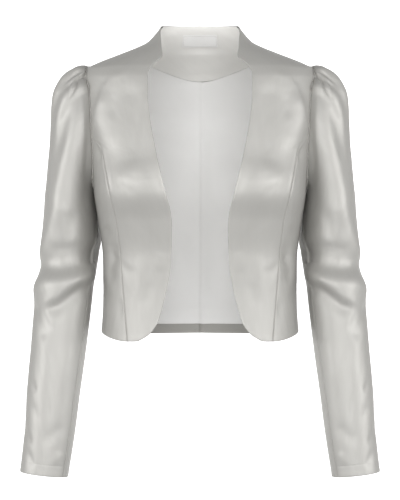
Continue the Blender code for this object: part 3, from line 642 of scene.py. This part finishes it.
def workEdges(kinds, away, across, down, creases):
    # how far the cloth lifts, how far its edges have rounded off and how near a seam is
    lift = np.zeros(across.shape) + creases
    drop, nearSeam = np.zeros(across.shape), np.zeros(across.shape)
    for side, kind in kinds.items():
        if kind == "seam":
            lift *= 1 - bell(away[side], sewing["hold"])
    for side, kind in kinds.items():
        far = away[side]
        if kind == "seam":
            run = down if side in ("left", "right") else across
            pucker = sum(size * np.sin(run * pace + start) for size, pace, start in sewing["puckerWaves"])
            lift -= sewing["sink"] * bell(far, sewing["sinkReach"])
            lift += sewing["pucker"] * pucker * bell(far, sewing["puckerReach"])
            nearSeam = np.maximum(nearSeam, bell(far, sewing["toneReach"]))
        if kind == "free":
            wave = np.sin(down * sewing["rollPaceDown"] + across * sewing["rollPaceAcross"])
            uneven = 1 - sewing["rollUneven"] + sewing["rollUneven"] * wave
            lift += sewing["roll"] * bell(far - sewing["rollPlace"], sewing["rollReach"]) * uneven
            drop = np.maximum(drop, edgeDrop(far, cloth["edgeRound"]))
    return lift, drop, nearSeam


def sheetFaces(rows, columns):
    # the outer face of a grid, and all faces with the inner copy and the rim between them
    count = rows * columns
    index = np.arange(count).reshape(rows, columns)
    quads = np.stack([index[:-1, :-1], index[1:, :-1], index[1:, 1:], index[:-1, 1:]], -1).reshape(-1, 4)
    rim = np.concatenate([index[0, :], index[1:, -1], index[-1, -2::-1], index[-2:0:-1, 0]])
    nextRim = np.roll(rim, -1)
    rims = np.stack([nextRim, rim, rim + count, nextRim + count], -1)
    return quads, np.concatenate([quads, quads[:, ::-1] + count, rims[:, ::-1]])


def addMesh(name, corners, faces, finish):
    mesh = bpy.data.meshes.new(name)
    mesh.from_pydata(corners, [], faces)
    mesh.shade_smooth()
    mesh.materials.append(finish)
    made = bpy.data.objects.new(name, mesh)
    bpy.context.scene.collection.objects.link(made)
    return made


def markCloth(mesh, flat, marks):
    # the cut as a UV map, and the marks that the shaders read, for the outside and the inside
    layer = mesh.uv_layers.new(name="cut")
    loops = np.empty(len(mesh.loops), np.int32)
    mesh.loops.foreach_get("vertex_index", loops)
    layer.data.foreach_set("uv", np.concatenate([flat, flat])[loops].astype(np.float32).ravel())
    for name, (outside, inside) in marks.items():
        attribute = mesh.attributes.new(name, "FLOAT", "POINT")
        values = np.concatenate([outside, inside], axis=None)
        attribute.data.foreach_set("value", values.astype(np.float32))


def clothPiece(name, node, look, points, edges, creases=0.0, linedFrom=None, mirrored=False, turned=0.0):
    # points is a grid of rows and columns in mm, and look is a slot, which is not used, a wall and a finish.
    # edges says free, seam or plain for left, right, top and bottom. linedFrom(distances)
    # gives where the inside is lined, and the last argument how much of the inside is painted shade for the
    # hem band.
    slot, wall, finish = look
    across, down = runLengths(points, 1), runLengths(points, 0)
    away = {"left": across, "right": across[:, -1:] - across, "top": down, "bottom": down[-1:] - down}
    kinds = dict(zip(away, edges.split()))
    lift, drop, nearSeam = workEdges(kinds, away, across, down, creases)
    shaped = points + gridNormals(points) * lift[..., None]
    normals = gridNormals(shaped)
    outer = shaped - normals * drop[..., None]
    inner = shaped - normals * (wall - drop)[..., None]
    corners = np.concatenate([outer.reshape(-1, 3), inner.reshape(-1, 3)]) * mm
    quads, faces = sheetFaces(*points.shape[:2])
    if mirrored:
        corners[:, 0] *= -1
        faces = faces[:, ::-1]
    piece = addMesh(name, corners.tolist(), faces.tolist(), finish)
    bare = np.zeros(across.shape)
    lined = bare if linedFrom is None else linedFrom(away)
    marks = {"lined": (bare, lined), "seam": (nearSeam, nearSeam), "turned": (bare, bare + turned)}
    markCloth(piece.data, np.stack([across, -down], -1).reshape(-1, 2) * mm, marks)
    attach(piece, "root")
    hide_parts(node)


# shader maths

class Wire:
    # one output of a node
    def __init__(self, finish, socket):
        self.finish, self.socket = finish, socket

    def work(self, operation, first, second):
        return self.finish.node("ShaderNodeMath", {"operation": operation}, {0: first, 1: second})

    def __add__(self, other):
        return self.work("ADD", self, other)

    def __radd__(self, other):
        return self.work("ADD", other, self)

    def __sub__(self, other):
        return self.work("SUBTRACT", self, other)

    def __mul__(self, other):
        return self.work("MULTIPLY", self, other)

    def sine(self):
        return self.work("SINE", self, 0.0)

    def least(self, other):
        return self.work("MINIMUM", self, other)


class Finish:
    # a material whose nodes are made one call at a time
    def __init__(self, name):
        self.material = bpy.data.materials.new(name)
        self.material.use_nodes = True
        self.tree = self.material.node_tree
        self.shader = self.tree.nodes["Principled BSDF"]

    def node(self, kind, settings=None, values=None, output=0):
        made = self.tree.nodes.new(kind)
        for key, value in (settings or {}).items():
            setattr(made, key, value)
        for key, value in (values or {}).items():
            self.put(made.inputs[key], value)
        return Wire(self, made.outputs[output])

    def put(self, socket, value):
        if isinstance(value, Wire):
            self.tree.links.new(value.socket, socket)
        else:
            socket.default_value = value

    def set(self, **values):
        for key, value in values.items():
            self.put(self.shader.inputs[key.replace("_", " ")], value)

    def cut(self):
        return self.node("ShaderNodeUVMap", {"uv_map": "cut"})

    def place(self):
        return self.node("ShaderNodeTexCoord", {}, {}, "Object")

    def parts(self, vector):
        outputs = self.node("ShaderNodeSeparateXYZ", {}, {0: vector}).socket.node.outputs
        return [Wire(self, output) for output in outputs]

    def value(self, name):
        return self.node("ShaderNodeAttribute", {"attribute_name": name}, output="Fac")

    def blend(self, share, first, second):
        return self.node("ShaderNodeMix", {"data_type": "RGBA"}, {0: share, 6: first, 7: second}, 2)

    def noise(self, vector, scale, detail=2.0, rough=0.5):
        values = {"Vector": vector, "Scale": scale, "Detail": detail, "Roughness": rough}
        return self.node("ShaderNodeTexNoise", {}, values)

    def streaks(self, vector, scale, stretch, rough):
        stretched = self.node("ShaderNodeMapping", {}, {"Vector": vector, "Scale": (1.0, stretch, 1.0)})
        return self.noise(stretched, scale, 3.0, rough)

    def bump(self, height, strength, distance, below=None):
        values = {"Height": height, "Strength": strength, "Distance": distance}
        if below is not None:
            values["Normal"] = below
        return self.node("ShaderNodeBump", {}, values)


def shade(level, warmth=0.0):
    return (level * (1 + warmth * 0.35), level, level * (1 - warmth), 1.0)


# threads and bump distances are in metres, and each bump is a strength and a distance

satin = {
    "colour": shade(0.45, 0.045), "deep": shade(0.385, 0.06), "metal": 0.38,
    # the two facing colours are this same satin painted lighter: painted light standing in for the light the
    # collar's inside catches from below
    "facing": shade(0.90, 0.03), "facingDeep": shade(0.80, 0.04), "facingMetal": 0.22,
    # the next line's last colour is painted shade, a darker satin standing in for the shadow on the back's
    # inside hem band
    "lining": shade(0.90, 0.02), "turned": shade(0.39, 0.06),
    "roughness": 0.47, "thread": 0.00034, "threadRatio": 1.7,
    "slubScale": 130.0, "slubStretch": 0.22, "slubRough": 0.55, "broadScale": 22.0,
    "rippleBump": (0.35, 0.0022), "slubBump": (0.22, 0.0006), "weaveBump": (0.10, 0.00006),
}


def makeSatin(name, colour, deep, metallic):
    finish = Finish(name)
    cut = finish.cut()
    u, v, _ = finish.parts(cut)
    lined, seam = finish.value("lined"), finish.value("seam")
    slub = finish.streaks(cut, satin["slubScale"], satin["slubStretch"], satin["slubRough"])
    broad = finish.noise(cut, satin["broadScale"])
    pace = 2 * math.pi / satin["thread"]
    weave = (u * pace).sine() * 0.6 + ((u * 0.5 + v) * (pace / satin["threadRatio"])).sine() * 0.4
    rippled = finish.bump(broad, *satin["rippleBump"])
    slubbed = finish.bump(slub, *satin["slubBump"], rippled)
    tone = finish.blend(broad * 0.35 + slub * 0.25 + seam * 0.5, colour, deep)
    # painted shade: where marked, the satin turns darker to stand in for the shadow on the back's hem band
    tone = finish.blend(finish.value("turned"), tone, satin["turned"])
    finish.set(
        Base_Color=finish.blend(lined, tone, satin["lining"]),
        Roughness=satin["roughness"] + slub * 0.10 + seam * 0.12 + lined * 0.08,
        Normal=finish.bump(weave, *satin["weaveBump"], slubbed), Specular_IOR_Level=0.4, Metallic=metallic,
    )
    return finish.material


lining = {
    "colour": shade(0.94, 0.01), "deep": shade(0.89, 0.015), "roughness": 0.42,
    "thread": 0.00026, "threadRatio": 1.4, "broadScale": 18.0,
    "streakScale": 190.0, "streakStretch": 0.16, "streakRough": 0.6,
    "rippleBump": (0.30, 0.0020), "weaveBump": (0.15, 0.0003),
}


def makeLining():
    finish = Finish("lining cloth")
    cut = finish.cut()
    u, v, _ = finish.parts(cut)
    streak = finish.streaks(cut, lining["streakScale"], lining["streakStretch"], lining["streakRough"])
    broad = finish.noise(cut, lining["broadScale"])
    twill = ((u + v) * (2 * math.pi / lining["thread"] / lining["threadRatio"])).sine()
    rippled = finish.bump(broad, *lining["rippleBump"])
    tone = broad * 0.4 + streak * 0.3 + finish.value("seam") * 0.5
    finish.set(
        Base_Color=finish.blend(tone, lining["colour"], lining["deep"]),
        Roughness=lining["roughness"] + streak * 0.08,
        Normal=finish.bump(streak * 0.8 + twill * 0.1, *lining["weaveBump"], rippled),
        Specular_IOR_Level=0.5, Sheen_Weight=0.15,
    )
    return finish.material


label = {
    "colour": shade(0.97, 0.01), "border": shade(0.72, 0.04), "roughness": 0.62,
    "thread": 0.0005, "threadRatio": 0.8, "fuzzScale": 900.0, "weaveBump": (0.35, 0.00012),
    "width": 56, "top": 28.8, "drop": 17.3,
}


def makeLabel():
    finish = Finish("label cloth")
    cut = finish.cut()
    u, v, _ = finish.parts(cut)
    pace = 2 * math.pi / label["thread"]
    warp, weft = (u * pace).sine(), (v * (pace / label["threadRatio"])).sine()
    fuzz = finish.noise(cut, label["fuzzScale"], 3.0, 0.6)
    woven = finish.bump(warp * 0.4 + weft * 0.4 + fuzz * 0.5, *label["weaveBump"])
    tone = fuzz * 0.5 + finish.value("seam") * 0.4
    finish.set(
        Base_Color=finish.blend(tone, label["colour"], label["border"]),
        Roughness=label["roughness"] + fuzz * 0.1, Normal=woven,
        Specular_IOR_Level=0.35, Sheen_Weight=0.2,
    )
    return finish.material


thread = {
    "colour": shade(0.66, 0.04), "deep": shade(0.50, 0.05), "roughness": 0.55,
    "fuzzScale": 4000.0, "fuzzBump": (0.3, 0.0001),
}


def makeThread():
    finish = Finish("sewing thread")
    fuzz = finish.noise(finish.place(), thread["fuzzScale"])
    finish.set(
        Base_Color=finish.blend(fuzz, thread["colour"], thread["deep"]),
        Roughness=thread["roughness"] + fuzz * 0.1,
        Normal=finish.bump(fuzz, *thread["fuzzBump"]), Specular_IOR_Level=0.4,
    )
    return finish.material


satinFinish = makeSatin("satin", satin["colour"], satin["deep"], satin["metal"])
# the neck facing is the outside satin again, painted lighter and less metallic as painted light from below
paintedLightFacingFinish = makeSatin("facing satin painted light", satin["facing"], satin["facingDeep"], satin["facingMetal"])
threadFinish = makeThread()
outerLook = ("outer_satin", cloth["outerWall"], satinFinish)
facingLook = ("outer_satin", cloth["liningWall"], paintedLightFacingFinish)
liningLook = ("lining", cloth["liningWall"], makeLining())
labelLook = ("label", cloth["labelWall"], makeLabel())
print("materials made")


# how far in from its edges the satin's inside stays satin before the lining starts

turnedIn = {"frontEdge": 62, "neck": 60, "hem": 26, "cuff": 30, "fade": 1.2}


def linedPast(away, side, reach):
    return smooth((away[side] - reach) / turnedIn["fade"])


def frontInside(away):
    inFromEdge = linedPast(away, "left", turnedIn["frontEdge"])
    return inFromEdge * linedPast(away, "bottom", turnedIn["hem"]) * linedPast(away, "top", turnedIn["neck"])


def sideInside(away):
    return linedPast(away, "bottom", turnedIn["hem"])


def sleeveInside(away):
    return linedPast(away, "bottom", turnedIn["cuff"])


def clothPair(name, node, points, edges, creases, linedFrom):
    for side, mirrored in (("Left", False), ("Right", True)):
        nodeName = f"{node}_{side.lower()}"
        clothPiece(name + side, nodeName, outerLook, points, edges, creases, linedFrom, mirrored)


def makeFronts():
    lastRow, princessRow = body["frontRows"][3], body["frontRows"][2]
    u, v = np.meshgrid(gridLines(fineness["front"]), gridLines(lastRow * fineness["frontRow"]))
    points = bodyPoint(*frontPlace(u, v))
    creases = creaseRise(frontCreases, points)
    edges = "free seam free free"
    clothPair("front", "front", points, edges, creases, frontInside)

    sideRows = lastRow - princessRow
    u, v = np.meshgrid(gridLines(fineness["side"]), gridLines(sideRows * fineness["frontRow"]))
    points = bodyPoint(*sideFrontPlace(u, v))
    creases = creaseRise(frontCreases, points)
    edges = "seam seam seam free"
    clothPair("sideFront", "side_front", points, edges, creases, sideInside)


def sleeveRise(turn, points):
    # front creases where the sleeve faces forward, the others behind
    forward = smooth(0.5 + np.sin(np.radians(turn)) * 2.2)
    inFront, behind = creaseRise(sleeveFrontCreases, points), creaseRise(sleeveBackCreases, points)
    return inFront * forward + behind * (1 - forward)


cuffStitch = {"place": 16.5, "width": 0.9, "pitch": 4.2, "depth": 0.28, "uneven": 0.3}
cuffLines = (0.0003, 0.0007, 0.0013, 0.002, 0.003, 0.024, 0.0255, 0.027, 0.0285, 0.03)
headLines = (0.0006, 0.0013, 0.0022)


def makeSleeves():
    capRows, armRows = sleeve["rows"]
    capEnd = capRows / (capRows + armRows)
    headColumns, sideColumns, underColumns = sleeve["columns"]
    capLines = np.linspace(0, capEnd, capRows * fineness["capRow"] + 1)
    armLines = np.linspace(capEnd, 1, armRows * fineness["armRow"] + 1)
    down = np.concatenate([capLines, armLines, 1 - np.array(cuffLines), headLines])
    down = np.unique(np.round(down, 6))
    for name, node, turnOf, columns in (
        ("sleeveUpper", "sleeve_upper", sleeveUpperTurn, headColumns + 2 * sideColumns),
        ("sleeveUnder", "sleeve_under", sleeveUnderTurn, underColumns),
    ):
        u, v = np.meshgrid(gridLines(columns * fineness["sleeveColumn"]), down)
        share = sleeveShare(v)
        turn = turnOf(u, share)
        points = sleevePoint(turn, share)
        lengths, around = runLengths(points, 0), runLengths(points, 1)
        stitched = bell(lengths[-1:] - lengths - cuffStitch["place"], cuffStitch["width"])
        wave = np.cos(2 * math.pi * around / cuffStitch["pitch"])
        stitched *= 1 - cuffStitch["uneven"] + cuffStitch["uneven"] * wave
        creases = sleeveRise(turn, points) - cuffStitch["depth"] * stitched
        edges = "seam seam seam free"
        clothPair(name, node, points, edges, creases, sleeveInside)


def makeBack():
    lastRow = body["backRows"][4]
    halfLines = gridLines(fineness["back"]) / 2
    for side, first, outward in (("Left", 0.0, 1), ("Right", 0.5, -1)):
        u, v = np.meshgrid(first + halfLines, gridLines(lastRow * fineness["backRow"]))
        points = backPoint(u, v * lastRow, 0.0)
        points[..., 0] += np.where(u == 0.5, outward * cloth["seamGap"] / 2, 0)
        creases = creaseRise(backCreases, points)
        edges = "seam seam free free"
        # the back's inside is all painted shade, seen as the darker hem band below the lining
        clothPiece("back" + side, "back_" + side.lower(), outerLook, points, edges, creases, turned=1.0)


facingInset = cloth["outerWall"] + cloth["layerGap"]


def makeFacing():
    facingRow = body["backRows"][0]
    lines = gridLines(facingRow * fineness["facingRow"])
    u, v = np.meshgrid(gridLines(fineness["back"] * 2), lines)
    points = backPoint(u, v * facingRow, facingInset)
    creases = -creaseRise(facingCreases, points)
    edges = "plain plain free plain"
    clothPiece("neckFacing", "back_neck_facing", facingLook, points, edges, creases)


# the lining's pleat is pressed to one side, so one flank is steep, and its hem stands off
liningPleat = {
    "place": 3.0, "rise": 2.0, "steep": 1.5, "flat": 11.0, "rowGap": 0.03,
    "standOff": 1.5, "standReach": 6.0,
}


def makeBackLining():
    facingRow, _, _, hemRow, _ = body["backRows"]
    lines = gridLines((hemRow - facingRow) * fineness["backRow"])
    u, v = np.meshgrid(gridLines(fineness["back"] * 2), lines)
    points = backPoint(u, mix(facingRow + liningPleat["rowGap"], hemRow, v), facingInset)
    fromPleat = points[..., 0] - liningPleat["place"]
    flank = np.where(fromPleat < 0, liningPleat["steep"], liningPleat["flat"])
    lengths = runLengths(points, 0)
    creases = -creaseRise(liningCreases, points)
    creases -= liningPleat["rise"] * bell(fromPleat, flank)
    creases -= liningPleat["standOff"] * bell(lengths[-1:] - lengths, liningPleat["standReach"])
    edges = "plain plain plain free"
    clothPiece("backLining", "back_lining", liningLook, points, edges, creases)


labelInset = facingInset + cloth["liningWall"] + cloth["labelGap"]


def facingRise(turn, height, inset):
    # the facing's creases under the label, which lies over them
    return creaseRise(facingCreases, bodyPoint(turn, height, inset))


def makeLabelPiece():
    across, down = (gridLines(count, (0.3, 0.6)) for count in fineness["label"])
    u, v = np.meshgrid(across, down)
    height = label["top"] - label["drop"] * v
    halfTurn = np.degrees(label["width"] / 2 / bodyBack(height))
    turn = 180 + halfTurn * (u * 2 - 1)
    points = bodyPoint(turn, height, labelInset + facingRise(turn, height, labelInset))
    edges = "free free free free"
    clothPiece("neckLabel", "label", labelLook, points, edges)


stitch = {
    "edge": 1.6, "length": 2.2, "pitch": 3.1, "stand": 0.12,
    "radius": 0.22, "endShare": 0.35, "endRound": 0.08, "sides": 6, "rings": 7,
}


def stitchRuns():
    # both ends of each running stitch, a little inside the label's four edges
    half, drop, edge = label["width"] / 2, label["drop"], stitch["edge"]
    left, right, top, bottom = edge - half, half - edge, edge, drop - edge
    for x0, z0, x1, z1 in (
        (left, top, right, top), (left, bottom, right, bottom),
        (left, top, left, bottom), (right, top, right, bottom),
    ):
        length = math.hypot(x1 - x0, z1 - z0)
        count = max(int(length // stitch["pitch"]), 1)
        reach = stitch["length"] / 2 / length
        for i in range(count):
            first, last = (i + 0.5) / count - reach, (i + 0.5) / count + reach
            yield mix(x0, x1, first), mix(z0, z1, first), mix(x0, x1, last), mix(z0, z1, last)


def makeLabelStitches():
    inset = labelInset + cloth["labelWall"]
    rings, sides = stitch["rings"], stitch["sides"]
    corners, faces = [], []
    for x0, z0, x1, z1 in stitchRuns():
        t = np.linspace(0, 1, rings)
        height = label["top"] - mix(z0, z1, t)
        turn = 180 + np.degrees(mix(x0, x1, t) / bodyBack(height))
        stand = stitch["stand"] * np.sin(math.pi * t) + facingRise(turn, height, inset)
        line = bodyPoint(turn, height, inset + stand)
        outward = unit(line - bodyPoint(turn, height, inset + stand + 2.0))
        sideways = unit(np.cross(unit(np.gradient(line, axis=0)), outward))
        first = len(corners)
        for i in range(rings):
            swell = math.sin(math.pi * mix(stitch["endRound"], 1 - stitch["endRound"], t[i]))
            radius = stitch["radius"] * mix(stitch["endShare"], 1, swell)
            for j in range(sides):
                angle = 2 * math.pi * j / sides
                around = outward[i] * math.cos(angle) + sideways[i] * math.sin(angle)
                corners.append(line[i] + around * radius)
        for i in range(rings - 1):
            for j in range(sides):
                a, b = first + i * sides + j, first + i * sides + (j + 1) % sides
                faces.append((a, b, b + sides, a + sides))
        last = first + (rings - 1) * sides
        faces.append(tuple(range(first + sides - 1, first - 1, -1)))
        faces.append(tuple(range(last, last + sides)))
    stitches = addMesh("labelStitches", (np.array(corners) * mm).tolist(), faces, threadFinish)
    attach(stitches, "root")
    print(f"labelStitches: {len(faces)} faces")


makeBack()
makeFacing()
makeBackLining()
makeFronts()
makeSleeves()
makeLabelPiece()
makeLabelStitches()
# paper, light and camera, in metres

studio = {
    "floor": -0.72, "wall": 4.6, "bend": 1.6, "bendSteps": 16, "width": 12.0, "front": 0.2, "tall": 5.0,
    "paper": shade(0.86), "glow": 1.0, "glowing": shade(1.0), "dim": shade(0.10), "air": 0.38,
    "glowHeight": 0.3, "glowStart": 0.9, "fullTo": 0.6, "goneAt": 1.6,
    "fadeSide": 0.30, "fadeUp": 0.22, "fadeBefore": 1.6,
}


def makeStudio():
    profile = [(studio["front"], studio["floor"])]
    for i in range(studio["bendSteps"] + 1):
        angle = i / studio["bendSteps"] * math.pi / 2
        y = studio["wall"] - studio["bend"] + studio["bend"] * math.sin(angle)
        profile.append((y, studio["floor"] + studio["bend"] * (1 - math.cos(angle))))
    profile.append((studio["wall"], studio["floor"] + studio["tall"]))
    half = studio["width"] / 2
    corners = [(x, y, z) for y, z in profile for x in (-half, half)]
    faces = [(2 * i, 2 * i + 1, 2 * i + 3, 2 * i + 2) for i in range(len(profile) - 1)]
    finish = Finish("studio paper")
    # the paper glows where it stands behind the jacket and is plain pale paper elsewhere
    x, y, z = finish.parts(finish.place())
    up = z + studio["glowHeight"]
    before = (y - studio["glowStart"]).least(0.0)
    spread = x * x * studio["fadeSide"] + up * up * studio["fadeUp"] + before * before * studio["fadeBefore"]
    fade = {"From Min": studio["fullTo"], "From Max": studio["goneAt"], "To Min": 1.0, "To Max": 0.0}
    lit = finish.node("ShaderNodeMapRange", {"clamp": True}, {"Value": spread, **fade})
    finish.set(
        Base_Color=studio["paper"], Roughness=0.9, Specular_IOR_Level=0.1,
        Emission_Color=finish.blend(lit, studio["dim"], studio["glowing"]), Emission_Strength=studio["glow"],
    )
    addMesh("studioFloor", corners, faces, finish.material)


lamps = [  # place, where it points, width, height, power
    ((0.0, -3.7, 0.15), (0, 0, -0.2), 2.8, 1.1, 66),
    ((-3.1, -1.8, 0.1), (0, 0, -0.25), 2.6, 1.1, 66),
    ((3.1, -1.8, 0.1), (0, 0, -0.25), 2.6, 1.1, 66),
]


def makeLamps():
    for i, (place, target, width, height, power) in enumerate(lamps):
        data = bpy.data.lights.new(f"softbox{i}", "AREA")
        data.shape, data.size, data.size_y, data.energy = "RECTANGLE", width, height, power
        lamp = bpy.data.objects.new(f"softbox{i}", data)
        lamp.location = place
        lamp.rotation_euler = (Vector(target) - Vector(place)).to_track_quat("-Z", "Y").to_euler()
        bpy.context.scene.collection.objects.link(lamp)
    world = bpy.data.worlds.new("studioAir")
    world.use_nodes = True
    air = world.node_tree.nodes["Background"].inputs
    air["Color"].default_value = shade(1.0)
    air["Strength"].default_value = studio["air"]
    bpy.context.scene.world = world


photoCamera = {"away": 3.2, "height": -0.3, "sensor": 24.0, "tall": 0.75}


def makeCamera():
    data = bpy.data.cameras.new("photoCamera")
    data.sensor_fit, data.sensor_height = "VERTICAL", photoCamera["sensor"]
    data.lens = photoCamera["sensor"] * photoCamera["away"] / photoCamera["tall"]
    camera = bpy.data.objects.new("photoCamera", data)
    camera.location = (0, -photoCamera["away"], photoCamera["height"])
    camera.rotation_euler = (math.pi / 2, 0, 0)
    bpy.context.scene.collection.objects.link(camera)
    bpy.context.scene.camera = camera


makeStudio()
makeLamps()
makeCamera()
bpy.context.scene.view_settings.view_transform = "Standard"
print("studio ready")
